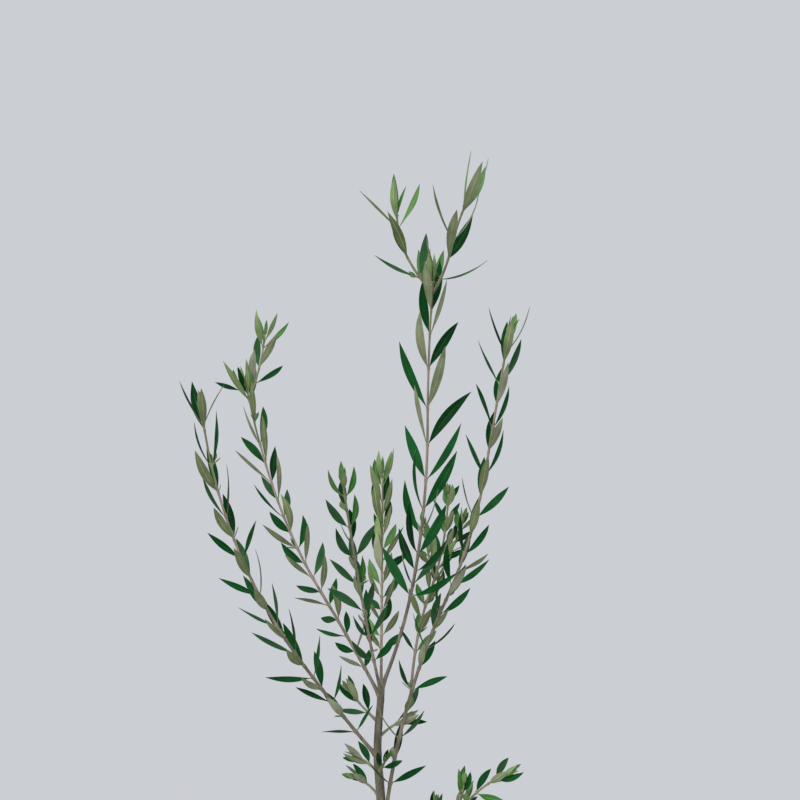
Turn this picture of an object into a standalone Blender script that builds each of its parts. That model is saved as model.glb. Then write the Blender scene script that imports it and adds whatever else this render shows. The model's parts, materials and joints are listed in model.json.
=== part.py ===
"""A young olive tree in a plain clay pot.

Metres, +Z up, -Y is the front and +X the right. The origin is the middle of the pot's flat
underside. Every limb is a smooth line walked from its foot, given by its heading, its lean and
its length. Leaves stand on the shoots in opposite pairs, each pair turned a quarter from the
one below it, as on a real olive.
"""

import math
import random
from collections import namedtuple

import bpy
import bmesh
from mathutils import Vector
from mathutils.bvhtree import BVHTree

# The space kept between neighbouring solids.
GAP = 0.0003

# Edges sharper than this, in degrees, stay crisp on the round pieces.
SHARP_ANGLE = 40

# Pot and soil.
POT_HEIGHT = 0.205
POT_FOOT_RADIUS = 0.080
POT_RIM_RADIUS = 0.116
POT_WALL = 0.008
POT_FLOOR = 0.010
RIM_HEIGHT = 0.034
RIM_STEP = 0.006
EDGE_ROUND = 0.003
POT_STEPS = 40
DRAIN_HOLES = 3
DRAIN_SIDES = 12
DRAIN_RADIUS = 0.006
DRAIN_CIRCLE = 0.038
SOIL_TOP = 0.182
SOIL_DOME = 0.004
SOIL_FLAT = 0.020

# Trunk: its height above the soil, its sideways sway at some heights and its radii.
TRUNK_HEIGHT = 0.435
SWAY_HEIGHTS = (0.0, 0.20, 0.32, 0.36, 0.40, 0.435)
SWAY = (0.0, -0.001, -0.004, -0.008, -0.006, -0.003)
TRUNK_BOW = 0.003
TRUNK_FOOT_RADIUS = 0.0066
TRUNK_TOP_RADIUS = 0.0032
TRUNK_TAPER = 0.7
FLARE = 0.0060
FLARE_REACH = 0.010
TRUNK_SIDES = 12

# Limbs and shoots.
WALK = 0.004
LIMB_SPACING = 0.024
BOUGH_SIDES = 8
STEM_SIDES = 3
FOOT_RADIUS = 0.0011
RADIUS_PER_LENGTH = 0.0018
TIP_RADIUS = 0.0009
TIP_PAIR_GAP = 0.006

# Leaves. The angle to the stem, in degrees, runs from a shoot's foot to its tip. A longer leaf
# is only a little wider. Blades curve inward, and turn their upper side to the light unless
# that is too far. The last pairs have an angle, a size and a curve of their own.
RISE = (64, 54, 43, 35, 32)
LEAF_WIDTH = 0.0048
WIDTH_PER_LENGTH = 0.078
SIZE_RANGE = (0.88, 1.12)
TURN_RANGE = 18
TILT_SPREAD = 7
CURL = 24
CURL_SPREAD = 14
ROLL_RANGE = 22
TIP_PAIRS = ((42, 1.0, 30), (26, 0.8, 16), (12, 0.5, 8))
LIGHT = Vector((0.0, -0.8, 0.6))
TOO_FAR_TO_TURN = 90
LEAF_STATIONS = ((0.0, 0.0), (0.34, 1.0), (0.68, 0.86))
SHORT_STATIONS = ((0.0, 0.0), (0.48, 1.0))
SHORT_LEAF = 0.030
LEAF_ROOT = 0.0006
KEEL = 0.0010
CLEARANCE = 0.0007
OUTER_PART = 0.30
SIDE_STEPS = (0, 24, -24, 48, -48)

# name: the shoot, and the node of its leaves unless it belongs to another shoot's mass
# parent, at: the limb that it leaves, and how far along that
# heading: degrees round from +X; lean: degrees off the vertical, from foot to tip
# bare: its leafless foot, which is a bough of its own
# first, gaps: where its leaf pairs begin, and the spacing from foot to tip
# phase: the first pair's angle round the stem; leaf: leaf lengths from foot to tip
# facing: the most that a leaf turns its blade to the light, in degrees
Shoot = namedtuple(
    "Shoot", "name parent at heading lean length bare first gaps phase leaf facing seed"
)
SHOOTS = (
    Shoot("far_left", "trunk", 0.36, 200, (40, 36, 22, 8), 0.39, 0.024,
          0.036, (0.024, 0.015, 0.018, 0.025, 0.030), 0, (0.034, 0.046, 0.048, 0.054), 15, 1),
    Shoot("left", "trunk", 0.42, 145, (35, 40, 25, 15), 0.36, 0.022,
          0.034, (0.020, 0.017, 0.020, 0.028), 45, (0.028, 0.044, 0.055), 60, 2),
    Shoot("left_tip", "left", 0.35, 60, (35, 10), 0.075, 0.0,
          0.020, (0.018,), 45, (0.045, 0.042), 45, 3),
    Shoot("left_twig", "left", 0.35, 190, (50, 20), 0.025, 0.0,
          0.010, (0.010,), 0, (0.040, 0.015), 45, 4),
    Shoot("leader", "trunk", 0.43, -30, (25, 10, 0, 5), 0.41, 0.090,
          0.100, (0.014, 0.012, 0.033, 0.040, 0.004), 135, (0.040, 0.060, 0.070, 0.055), 65, 5),
    Shoot("leader_left", "leader", 0.40, 200, (45, 30, 0), 0.085, 0.0,
          0.020, (0.022,), 0, (0.050, 0.055), 15, 6),
    Shoot("leader_right", "leader", 0.40, -25, (35, 15, 25), 0.095, 0.0,
          0.016, (0.020,), 0, (0.055, 0.065), 15, 7),
    Shoot("right", "trunk", 0.27, -20, (5, 15, 25, 10, 10), 0.525, 0.050,
          0.065, (0.020, 0.026, 0.015, 0.024, 0.018), 0, (0.040, 0.040, 0.044, 0.046), 25, 8),
    Shoot("right_inner", "right", 0.16, 60, (5, 40, 5), 0.21, 0.0,
          0.040, (0.018, 0.014, 0.011), 30, (0.028, 0.036, 0.026), 50, 9),
    Shoot("inner_left", "right_inner", 0.12, 130, (25, 10), 0.055, 0.0,
          0.014, (0.010,), 45, (0.024, 0.020), 50, 10),
    Shoot("inner_right", "right_inner", 0.13, 20, (45, 15), 0.060, 0.0,
          0.014, (0.010,), 45, (0.026, 0.022), 50, 11),
    Shoot("front", "trunk", 0.425, 255, (35, 30, 25), 0.25, 0.035,
          0.045, (0.015, 0.017), 0, (0.030, 0.040, 0.034), 45, 12),
    Shoot("back", "trunk", 0.425, 90, (30, 30, 25), 0.24, 0.035,
          0.045, (0.014, 0.013), 45, (0.030, 0.042, 0.044), 65, 13),
    Shoot("low_right", "trunk", 0.185, -35, (20, 45, 10), 0.19, 0.050,
          0.060, (0.020, 0.014), 20, (0.028, 0.032, 0.028), 50, 14),
    Shoot("low_right_arm", "low_right", 0.155, -10, (30, 65), 0.070, 0.0,
          0.018, (0.015,), 60, (0.028, 0.030, 0.024), 60, 15),
    Shoot("low_front_left", "trunk", 0.15, 220, (35, 45, 15), 0.17, 0.045,
          0.055, (0.018, 0.020, 0.014), 50, (0.028, 0.036, 0.030), 45, 16),
    Shoot("low_back", "trunk", 0.12, 110, (35, 45, 15), 0.165, 0.045,
          0.055, (0.018, 0.020, 0.014), 10, (0.028, 0.036, 0.030), 45, 17),
    Shoot("low_front", "trunk", 0.09, 295, (40, 50, 20), 0.175, 0.045,
          0.055, (0.018, 0.020, 0.014), 70, (0.028, 0.036, 0.030), 45, 18),
    Shoot("low_left", "trunk", 0.075, 170, (40, 45, 10), 0.15, 0.045,
          0.055, (0.018, 0.020, 0.014), 30, (0.028, 0.034, 0.028), 45, 19),
    Shoot("low_back_right", "trunk", 0.205, 40, (40, 45, 15), 0.115, 0.040,
          0.050, (0.017, 0.014), 0, (0.026, 0.032, 0.026), 45, 20),
    Shoot("twig_left", "trunk", 0.315, 185, (20, 70), 0.035, 0.0,
          0.016, (0.010,), 90, (0.026, 0.028), 60, 21),
    Shoot("twig_upper_left", "trunk", 0.395, 170, (50, 40), 0.040, 0.0,
          0.014, (0.010,), 20, (0.026, 0.030), 60, 22),
    Shoot("twig_mid_left", "trunk", 0.345, 150, (55, 70), 0.025, 0.0,
          0.014, (0.010,), 60, (0.030, 0.034), 60, 24),
    Shoot("twig_right", "trunk", 0.38, 15, (50, 65), 0.030, 0.0,
          0.014, (0.012,), 70, (0.034, 0.036), 60, 25),
    Shoot("twig_front", "trunk", 0.345, 290, (55, 45), 0.025, 0.0,
          0.013, (0.010,), 0, (0.028, 0.030), 60, 23),
)


def blend(knots, t):
    """The value at t, from 0 to 1, between evenly spaced knots."""
    if len(knots) == 1:
        return knots[0]
    place = min(max(t, 0.0), 1.0) * (len(knots) - 1)
    low = min(int(place), len(knots) - 2)
    return knots[low] + (knots[low + 1] - knots[low]) * (place - low)


# ---------------------------------------------------------------- centre lines


class Line:
    """The centre line of a limb, as points a short walk apart."""

    def __init__(self, points):
        self.points = points
        self.marks = [0.0]
        for low, high in zip(points, points[1:]):
            self.marks.append(self.marks[-1] + (high - low).length)
        self.length = self.marks[-1]

    def at(self, distance):
        """The point this far along, and the direction there."""
        step = 1
        while step < len(self.marks) - 1 and self.marks[step] < distance:
            step += 1
        low, high = self.points[step - 1], self.points[step]
        along = (high - low).normalized()
        return low + along * (distance - self.marks[step - 1]), along

    def between(self, start, end, spacing):
        """Points from start to end, evenly spaced."""
        count = max(2, math.ceil((end - start) / spacing) + 1)
        return [self.at(start + (end - start) * i / (count - 1))[0] for i in range(count)]


def sway_at(height):
    """The trunk's sideways offset, with its bends rounded."""
    total = 0.0
    for shift in (-0.015, -0.005, 0.005, 0.015):
        h = min(max(height + shift, 0.0), TRUNK_HEIGHT)
        step = 1
        while step < len(SWAY) - 1 and SWAY_HEIGHTS[step] < h:
            step += 1
        part = (h - SWAY_HEIGHTS[step - 1]) / (SWAY_HEIGHTS[step] - SWAY_HEIGHTS[step - 1])
        total += SWAY[step - 1] + (SWAY[step] - SWAY[step - 1]) * part
    return total / 4


def trunk_line():
    count = round(TRUNK_HEIGHT / WALK) + 1
    points = []
    for i in range(count):
        height = TRUNK_HEIGHT * i / (count - 1)
        bow = TRUNK_BOW * math.sin(math.pi * height / TRUNK_HEIGHT)
        points.append(Vector((sway_at(height), bow, SOIL_TOP + GAP + height)))
    return Line(points)


def shoot_line(shoot, foot):
    count = math.ceil(shoot.length / WALK)
    heading = math.radians(shoot.heading)
    points = [foot]
    for i in range(count):
        t = (i + 0.5) / count
        lean = math.radians(blend(shoot.lean, t))
        level = Vector((math.cos(heading), math.sin(heading), 0.0))
        along = level * math.sin(lean) + Vector((0.0, 0.0, math.cos(lean)))
        points.append(points[-1] + along * shoot.length / count)
    return Line(points)


def all_lines():
    """The centre line of the trunk and of every shoot, by name."""
    lines = {"trunk": trunk_line()}
    for shoot in SHOOTS:
        foot, _ = lines[shoot.parent].at(shoot.at)
        lines[shoot.name] = shoot_line(shoot, foot)
    return lines


def trunk_radius(height):
    rest = max(1.0 - height / TRUNK_HEIGHT, 0.0)
    taper = (TRUNK_FOOT_RADIUS - TRUNK_TOP_RADIUS) * rest**TRUNK_TAPER
    return TRUNK_TOP_RADIUS + taper + FLARE * math.exp(-height / FLARE_REACH)


def shoot_radius(shoot, distance):
    foot = FOOT_RADIUS + RADIUS_PER_LENGTH * shoot.length
    return foot + (TIP_RADIUS - foot) * min(distance / shoot.length, 1.0)


# ---------------------------------------------------------------- leaves

Leaf = namedtuple("Leaf", "foot along inward twist length width curl")


def pair_places(shoot):
    """Each leaf pair's distance along its shoot and its rank among the tip pairs, or None."""
    places = []
    distance = shoot.first
    last = shoot.length - (len(TIP_PAIRS) + 0.5) * TIP_PAIR_GAP
    while distance < last:
        places.append((distance, None))
        distance += blend(shoot.gaps, distance / shoot.length)
    for rank in range(len(TIP_PAIRS)):
        places.append((shoot.length - TIP_PAIR_GAP * (len(TIP_PAIRS) - 1 - rank) - TIP_RADIUS, rank))
    return places


def turn_to_light(along, inward, most):
    """How far a blade turns round its own length to bring its upper side to the light."""
    across = along.cross(inward)
    angle = math.degrees(math.atan2(-LIGHT.dot(across), LIGHT.dot(inward)))
    return min(max(angle, -most), most) if abs(angle) < TOO_FAR_TO_TURN else 0.0


def leaf_choices(shoot, line):
    """For every leaf in turn, the ways it may stand: its own place first, then turned ones."""
    dice = random.Random(shoot.seed)
    for number, (distance, rank) in enumerate(pair_places(shoot)):
        t = distance / shoot.length
        for half in (0, 180):
            turn = dice.uniform(-TURN_RANGE, TURN_RANGE)
            tilt = dice.gauss(0, TILT_SPREAD)
            size = dice.uniform(*SIZE_RANGE)
            curl = dice.gauss(CURL, CURL_SPREAD)
            roll = dice.uniform(-ROLL_RANGE, ROLL_RANGE)
            rise, length = blend(RISE, t) + tilt, blend(shoot.leaf, t) * size
            width = LEAF_WIDTH + WIDTH_PER_LENGTH * length
            if rank is not None:
                tip_rise, tip_size, tip_curl = TIP_PAIRS[rank]
                rise, length, width = tip_rise + 0.4 * tilt, length * tip_size, width * tip_size
                curl += tip_curl - CURL
            up, side = math.cos(math.radians(rise)), math.sin(math.radians(rise))
            point, along = line.at(distance + (0.0004 if half else 0.0))
            choices = []
            for step in SIDE_STEPS:
                angle = math.radians(shoot.phase + 90 * number + half + turn + step)
                right = Vector((0.0, 1.0, 0.0)).cross(along).normalized()
                out = right * math.cos(angle) + along.cross(right) * math.sin(angle)
                way = along * up + out * side
                inward = along * side - out * up
                twist = math.radians(turn_to_light(way, inward, shoot.facing) + roll)
                choices.append(Leaf(point, way, inward, twist, length, width, math.radians(curl)))
            yield choices


def leaf_solid(leaf, start=0.0, margin=0.0):
    """Points and triangles of one leaf, flat above with a keel below, from start to its tip."""
    outline = LEAF_STATIONS if leaf.length > SHORT_LEAF else SHORT_STATIONS
    stations = [s for s in outline if s[0] >= start]
    if stations[0][0] > start:
        stations.insert(0, (start, start / outline[1][0]))
    points = []
    bend = leaf.curl if abs(leaf.curl) > 1e-3 else 1e-3
    level = leaf.along.cross(leaf.inward)
    for part, share in [*stations, (1.0 + margin / leaf.length, 0.0)]:
        turn = bend * part
        middle = leaf.foot + leaf.along * (leaf.length * math.sin(turn) / bend)
        middle += leaf.inward * (leaf.length * (1.0 - math.cos(turn)) / bend)
        inward = leaf.inward * math.cos(turn) - leaf.along * math.sin(turn)
        upper = inward * math.cos(leaf.twist) - level * math.sin(leaf.twist)
        across = level * math.cos(leaf.twist) + inward * math.sin(leaf.twist)
        if part > 1.0 or share == 0.0 and part > 0.0:
            points.append(middle)
            break
        half = LEAF_ROOT + (0.5 * leaf.width - LEAF_ROOT) * share + 2.0 * margin
        keel = LEAF_ROOT + (KEEL - LEAF_ROOT) * share
        points.append(middle + across * half + upper * (0.2 * keel + margin))
        points.append(middle - across * half + upper * (0.2 * keel + margin))
        points.append(middle - upper * (0.8 * keel + 2.0 * margin))
    faces = [(0, 1, 2)]
    last = len(points) - 1
    for low in range(0, last - 3, 3):
        for corner in range(3):
            a, b = low + corner, low + (corner + 1) % 3
            faces += [(a, b + 3, b), (a, a + 3, b + 3)]
    for corner in range(3):
        faces.append((last - 3 + corner, last, last - 3 + (corner + 1) % 3))
    return points, faces


def leaf_tree(leaf, start=0.0, margin=0.0):
    return BVHTree.FromPolygons(*leaf_solid(leaf, start, margin))


def grow_leaves(shoots, lines, others, own_stems):
    """The leaves of one mass. A leaf that would touch another limb, mass or leaf turns a
    little round its stem, and is left out if it still would."""
    leaves, standing = [], []
    for shoot in shoots:
        for choices in leaf_choices(shoot, lines[shoot.name]):
            for leaf in choices:
                whole = leaf_tree(leaf, 0.0, CLEARANCE)
                outer = leaf_tree(leaf, OUTER_PART, CLEARANCE)
                if any(whole.overlap(tree) for tree in others):
                    continue
                if any(outer.overlap(tree) for tree in own_stems + standing):
                    continue
                leaves.append(leaf)
                standing.append(leaf_tree(leaf, OUTER_PART))
                break
    return leaves


# ---------------------------------------------------------------- objects


def clear_scene():
    for thing in list(bpy.data.objects):
        bpy.data.objects.remove(thing, do_unlink=True)


def new_collection(name):
    collection = bpy.data.collections.new(name)
    bpy.context.scene.collection.children.link(collection)
    return collection


def new_material(name, colour, roughness, metallic=0.0):
    material = bpy.data.materials.new(name)
    material.use_nodes = True
    shader = material.node_tree.nodes["Principled BSDF"]
    shader.inputs["Base Color"].default_value = (*colour, 1.0)
    shader.inputs["Roughness"].default_value = roughness
    shader.inputs["Metallic"].default_value = metallic
    return material


def mesh_object(name, mesh, collection, material=None):
    thing = bpy.data.objects.new(name, mesh)
    collection.objects.link(thing)
    if material:
        mesh.materials.clear()
        mesh.materials.append(material)
    return thing


def apply_modifiers(thing):
    """Turns an object into the plain mesh that its modifiers give."""
    bpy.context.view_layer.update()
    graph = bpy.context.evaluated_depsgraph_get()
    mesh = bpy.data.meshes.new_from_object(thing.evaluated_get(graph))
    thing.modifiers.clear()
    old = thing.data
    thing.data = mesh
    bpy.data.meshes.remove(old)


def turned(name, profile, collection, material=None):
    """A body of revolution from its profile, which runs down the outer side."""
    mesh = bpy.data.meshes.new(name)
    points = [(radius, 0.0, height) for radius, height in profile]
    mesh.from_pydata(points, [(i, i + 1) for i in range(len(points) - 1)], [])
    thing = mesh_object(name, mesh, collection, material)
    screw = thing.modifiers.new("turn", "SCREW")
    screw.steps = POT_STEPS
    screw.render_steps = POT_STEPS
    screw.use_merge_vertices = True
    screw.merge_threshold = 0.00001
    return thing


def subtract(thing, cutter):
    cut = thing.modifiers.new("cut", "BOOLEAN")
    cut.operation = "DIFFERENCE"
    cut.object = cutter


def section(sides, helpers):
    """A polygon of radius 1 that a limb's curve sweeps along itself."""
    name = f"section_{sides}"
    if name in bpy.data.objects:
        return bpy.data.objects[name]
    curve = bpy.data.curves.new(name, "CURVE")
    spline = curve.splines.new("POLY")
    spline.points.add(sides - 1)
    spline.use_cyclic_u = True
    for i, point in enumerate(spline.points):
        angle = 2.0 * math.pi * i / sides
        point.co = (math.cos(angle), math.sin(angle), 0.0, 1.0)
    thing = bpy.data.objects.new(name, curve)
    helpers.objects.link(thing)
    thing.hide_render = True
    return thing


def limb(name, points, radii, sides, collection, helpers, material=None):
    """A tapering limb: a curve with its own radius at each point, made a closed mesh."""
    curve = bpy.data.curves.new(name + "_line", "CURVE")
    curve.dimensions = "3D"
    curve.bevel_mode = "OBJECT"
    curve.bevel_object = section(sides, helpers)
    curve.use_fill_caps = True
    spline = curve.splines.new("POLY")
    spline.points.add(len(points) - 1)
    for knot, point, radius in zip(spline.points, points, radii):
        knot.co = (*point, 1.0)
        knot.radius = radius
    guide = bpy.data.objects.new(name + "_line", curve)
    helpers.objects.link(guide)
    bpy.context.view_layer.update()
    graph = bpy.context.evaluated_depsgraph_get()
    mesh = bpy.data.meshes.new_from_object(guide.evaluated_get(graph))
    mesh.name = name
    form = bmesh.new()
    form.from_mesh(mesh)
    bmesh.ops.remove_doubles(form, verts=form.verts, dist=0.00001)
    bmesh.ops.recalc_face_normals(form, faces=form.faces)
    form.to_mesh(mesh)
    form.free()
    thing = mesh_object(name, mesh, collection, material)
    thing.matrix_world = guide.matrix_world
    bpy.data.objects.remove(guide, do_unlink=True)
    bpy.data.curves.remove(curve)
    return thing


def shade_round(thing):
    """Smooth shading, with edges sharper than SHARP_ANGLE kept crisp."""
    thing.data.shade_smooth()
    thing.data.set_sharp_from_angle(angle=math.radians(SHARP_ANGLE))


def tree_of(thing):
    mesh = thing.data
    return BVHTree.FromPolygons(
        [v.co.copy() for v in mesh.vertices], [tuple(p.vertices) for p in mesh.polygons]
    )


def keep_main_body(mesh):
    """Drops loose scraps and the skins of sealed hollows, which leaves the largest body."""
    form = bmesh.new()
    form.from_mesh(mesh)
    left = set(form.faces)
    bodies = []
    while left:
        body, edge_of_search = set(), [next(iter(left))]
        while edge_of_search:
            face = edge_of_search.pop()
            if face in left:
                left.remove(face)
                body.add(face)
                edge_of_search += [f for edge in face.edges for f in edge.link_faces]
        bodies.append(body)
    largest = max(bodies, key=len)
    spare = [face for body in bodies if body is not largest for face in body]
    bmesh.ops.delete(form, geom=spare, context="FACES")
    form.to_mesh(mesh)
    form.free()


# ---------------------------------------------------------------- sub-parts


def make_pot(parts, cutters, clay):
    """A tapered clay pot with a thick rim band, a flat underside and drain holes."""
    band = POT_HEIGHT - RIM_HEIGHT
    slope = (POT_RIM_RADIUS - RIM_STEP - POT_FOOT_RADIUS) / band
    inner_floor = POT_FOOT_RADIUS + slope * POT_FLOOR - POT_WALL
    inner_top = POT_RIM_RADIUS - RIM_STEP - POT_WALL + slope * RIM_HEIGHT * 0.3
    profile = (
        (inner_top + EDGE_ROUND, POT_HEIGHT),
        (POT_RIM_RADIUS - EDGE_ROUND, POT_HEIGHT),
        (POT_RIM_RADIUS, POT_HEIGHT - EDGE_ROUND),
        (POT_RIM_RADIUS - 0.5 * EDGE_ROUND, band + EDGE_ROUND),
        (POT_RIM_RADIUS - 1.5 * EDGE_ROUND, band),
        (POT_RIM_RADIUS - RIM_STEP, band - 0.3 * EDGE_ROUND),
        (POT_FOOT_RADIUS + slope * EDGE_ROUND, EDGE_ROUND),
        (POT_FOOT_RADIUS - 0.8 * EDGE_ROUND, 0.0),
        (0.0, 0.0),
        (0.0, POT_FLOOR),
        (inner_floor - EDGE_ROUND, POT_FLOOR),
        (inner_floor, POT_FLOOR + EDGE_ROUND),
        (inner_top, POT_HEIGHT - EDGE_ROUND),
        (inner_top + EDGE_ROUND, POT_HEIGHT),
    )
    pot = turned("pot", profile, parts, clay)
    for i in range(DRAIN_HOLES):
        angle = 2.0 * math.pi * (i + 0.25) / DRAIN_HOLES
        place = (DRAIN_CIRCLE * math.cos(angle), DRAIN_CIRCLE * math.sin(angle), 0.5 * POT_FLOOR)
        bpy.ops.mesh.primitive_cylinder_add(
            vertices=DRAIN_SIDES, radius=DRAIN_RADIUS, depth=3.0 * POT_FLOOR, location=place
        )
        cutter = bpy.context.object
        cutter.name = f"drain_{i}"
        hide_helper(cutter, cutters)
        subtract(pot, cutter)
    apply_modifiers(pot)
    shade_round(pot)
    return inner_floor, inner_top


def hide_helper(thing, cutters):
    for collection in list(thing.users_collection):
        collection.objects.unlink(thing)
    cutters.objects.link(thing)
    thing.hide_render = True
    thing.display_type = "WIRE"


def make_soil(parts, earth, inner_floor, inner_top):
    """The soil that fills the pot, slightly domed, flat where the trunk stands on it."""
    foot = POT_FLOOR + GAP
    top_edge = SOIL_TOP - SOIL_DOME
    slope = (inner_top - inner_floor) / (POT_HEIGHT - 2.0 * EDGE_ROUND - POT_FLOOR)
    edge = inner_floor + slope * (top_edge - POT_FLOOR - EDGE_ROUND) - 2.0 * GAP
    profile = [(0.0, SOIL_TOP), (SOIL_FLAT, SOIL_TOP)]
    for i in range(1, 3):
        t = i / 3
        drop = SOIL_DOME * (1.0 - math.cos(0.5 * math.pi * t))
        profile.append((SOIL_FLAT + (edge - SOIL_FLAT) * t, SOIL_TOP - drop))
    profile += [
        (edge, top_edge),
        (inner_floor - 2.0 * GAP, foot + EDGE_ROUND),
        (inner_floor - EDGE_ROUND - GAP, foot),
        (0.0, foot),
    ]
    soil = turned("soil", profile, parts, earth)
    apply_modifiers(soil)
    shade_round(soil)


def make_trunk(name, extra, line, collection, helpers, material=None):
    """The trunk, from its flat cut on the soil through the flare to its fork."""
    heights = [0.0, 0.003, 0.007, 0.013, 0.022]
    steps = math.ceil((TRUNK_HEIGHT - heights[-1]) / LIMB_SPACING)
    rise = TRUNK_HEIGHT - heights[-1]
    heights += [heights[-1] + rise * (i + 1) / steps for i in range(steps)]
    points = [line.at(h)[0] for h in heights]
    radii = [trunk_radius(h) + extra for h in heights]
    if extra:
        points[0] = points[0] - Vector((0.0, 0.0, extra))
        points[-1] = points[-1] + line.at(line.length)[1] * extra
    else:
        points[1].x, points[1].y = points[0].x, points[0].y
    return limb(name, points, radii, TRUNK_SIDES, collection, helpers, material)


def make_limb(shoot, line, start, end, sides, name, collection, helpers, material=None):
    """The stretch of a shoot's stem from start to end."""
    points = line.between(start, end, LIMB_SPACING)
    count = len(points) - 1
    distances = [start + (end - start) * i / count for i in range(count + 1)]
    radii = [shoot_radius(shoot, d) for d in distances]
    return limb(name, points, radii, sides, collection, helpers, material)


def fuse(body, stems, leaves, helpers):
    """One union of a mass's main stem with its side stems and all its leaves."""
    pieces = bpy.data.collections.new(body.name + "_pieces")
    bpy.context.scene.collection.children.link(pieces)
    for stem in stems:
        helpers.objects.unlink(stem)
        pieces.objects.link(stem)
    for number, leaf in enumerate(leaves):
        mesh = bpy.data.meshes.new(f"{body.name}_leaf_{number}")
        points, faces = leaf_solid(leaf)
        mesh.from_pydata(points, [], faces)
        mesh_object(mesh.name, mesh, pieces)
    join = body.modifiers.new("join", "BOOLEAN")
    join.operation = "UNION"
    join.operand_type = "COLLECTION"
    join.collection = pieces
    apply_modifiers(body)
    for piece in list(pieces.objects):
        bpy.data.objects.remove(piece, do_unlink=True)
    bpy.data.collections.remove(pieces)
    keep_main_body(body.data)


def main():
    clear_scene()
    parts = new_collection("potted_olive_tree")
    cutters = new_collection("cutters")
    helpers = new_collection("helpers")
    helpers.hide_render = True
    clay = new_material("clay", (0.52, 0.22, 0.12), 0.85)
    earth = new_material("soil", (0.055, 0.036, 0.025), 0.95)
    bark = new_material("bark", (0.22, 0.17, 0.12), 0.8)
    green = new_material("foliage", (0.06, 0.14, 0.05), 0.5)

    inner = make_pot(parts, cutters, clay)
    make_soil(parts, earth, *inner)

    lines = all_lines()
    trunk = make_trunk("trunk", 0.0, lines["trunk"], parts, helpers, bark)
    shade_round(trunk)
    trunk_space = make_trunk("trunk_space", GAP, lines["trunk"], parts, helpers)
    hide_helper(trunk_space, cutters)

    limbs = [tree_of(trunk)]
    masses = {}
    for shoot in SHOOTS:
        line = lines[shoot.name]
        start = 0.0
        if shoot.bare:
            name = "bough_" + shoot.name
            bough = make_limb(
                shoot, line, 0.0, shoot.bare, BOUGH_SIDES, name, parts, helpers, bark
            )
            subtract(bough, trunk_space)
            apply_modifiers(bough)
            keep_main_body(bough.data)
            shade_round(bough)
            limbs.append(tree_of(bough))
            start = shoot.bare + GAP
        stem = make_limb(
            shoot, line, start, shoot.length, STEM_SIDES, "stem_" + shoot.name, helpers, helpers
        )
        if shoot.parent == "trunk":
            masses[shoot.name] = [shoot]
            if not shoot.bare:
                subtract(stem, trunk_space)
                apply_modifiers(stem)
                keep_main_body(stem.data)
        else:
            owner = next(m for m in masses.values() if shoot.parent in [s.name for s in m])
            owner.append(shoot)

    stems = {s.name: bpy.data.objects["stem_" + s.name] for s in SHOOTS}
    taken = {n: [tree_of(stems[s.name]) for s in members] for n, members in masses.items()}
    for name, members in masses.items():
        others = limbs + [tree for other, trees in taken.items() if other != name for tree in trees]
        leaves = grow_leaves(members, lines, others, list(taken[name]))
        body = stems[name]
        helpers.objects.unlink(body)
        parts.objects.link(body)
        body.name = "spray_" + name
        body.data.name = body.name
        fuse(body, [stems[s.name] for s in members[1:]], leaves, helpers)
        body.data.materials.clear()
        body.data.materials.append(green)
        taken[name] = [tree_of(body)]
        print(f"{body.name}: {len(leaves)} leaves, {len(body.data.polygons)} faces")

    for thing in list(helpers.objects):
        bpy.data.objects.remove(thing, do_unlink=True)
    bpy.data.collections.remove(helpers)


main()
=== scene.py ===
"""A young olive tree in a plain clay pot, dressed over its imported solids.

Metres, +Z up, -Y the front. The limbs and the leaves follow the growth rule of the part's
source, written out again here. Every leaf of a packed spray is found by that rule and gets its
true outline, and petioles, buds and young side sprigs grow between them.
"""

import json
import math
import random
from collections import namedtuple

import bmesh
import bpy
import numpy as np
from mathutils import Matrix, Vector, noise
from mathutils.bvhtree import BVHTree

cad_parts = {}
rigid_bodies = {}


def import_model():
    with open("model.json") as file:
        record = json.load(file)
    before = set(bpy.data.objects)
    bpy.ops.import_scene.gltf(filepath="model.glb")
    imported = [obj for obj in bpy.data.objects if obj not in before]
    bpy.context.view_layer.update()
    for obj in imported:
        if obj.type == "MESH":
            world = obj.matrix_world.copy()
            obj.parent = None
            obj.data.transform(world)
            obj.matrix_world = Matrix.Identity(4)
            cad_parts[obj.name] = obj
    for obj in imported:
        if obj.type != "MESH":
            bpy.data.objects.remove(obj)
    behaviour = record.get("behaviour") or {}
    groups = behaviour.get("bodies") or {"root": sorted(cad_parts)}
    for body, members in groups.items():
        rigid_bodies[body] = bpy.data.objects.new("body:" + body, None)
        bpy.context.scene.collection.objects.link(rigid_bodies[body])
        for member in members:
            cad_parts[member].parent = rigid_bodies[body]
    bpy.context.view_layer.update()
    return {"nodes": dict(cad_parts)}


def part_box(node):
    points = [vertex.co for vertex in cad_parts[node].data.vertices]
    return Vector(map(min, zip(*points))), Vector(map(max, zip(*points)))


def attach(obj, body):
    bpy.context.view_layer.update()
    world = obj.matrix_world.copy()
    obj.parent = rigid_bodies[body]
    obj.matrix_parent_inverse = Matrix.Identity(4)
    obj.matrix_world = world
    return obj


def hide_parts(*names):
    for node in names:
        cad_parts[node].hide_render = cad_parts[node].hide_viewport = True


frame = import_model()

_, pot_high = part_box("pot")
_, soil_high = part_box("soil")
trunk_low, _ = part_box("trunk")

# -------------------------------- the growth rule's values

TRUNK_HEIGHT = 0.435
SWAY_HEIGHTS = (0.0, 0.20, 0.32, 0.36, 0.40, 0.435)
SWAY = (0.0, -0.001, -0.004, -0.008, -0.006, -0.003)
SWAY_ROUNDING = (-0.015, -0.005, 0.005, 0.015)
TRUNK_BOW = 0.003
TRUNK_FOOT_RADIUS = 0.0066
TRUNK_TOP_RADIUS = 0.0032
TRUNK_TAPER = 0.7
FLARE = 0.0060
FLARE_REACH = 0.010

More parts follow.
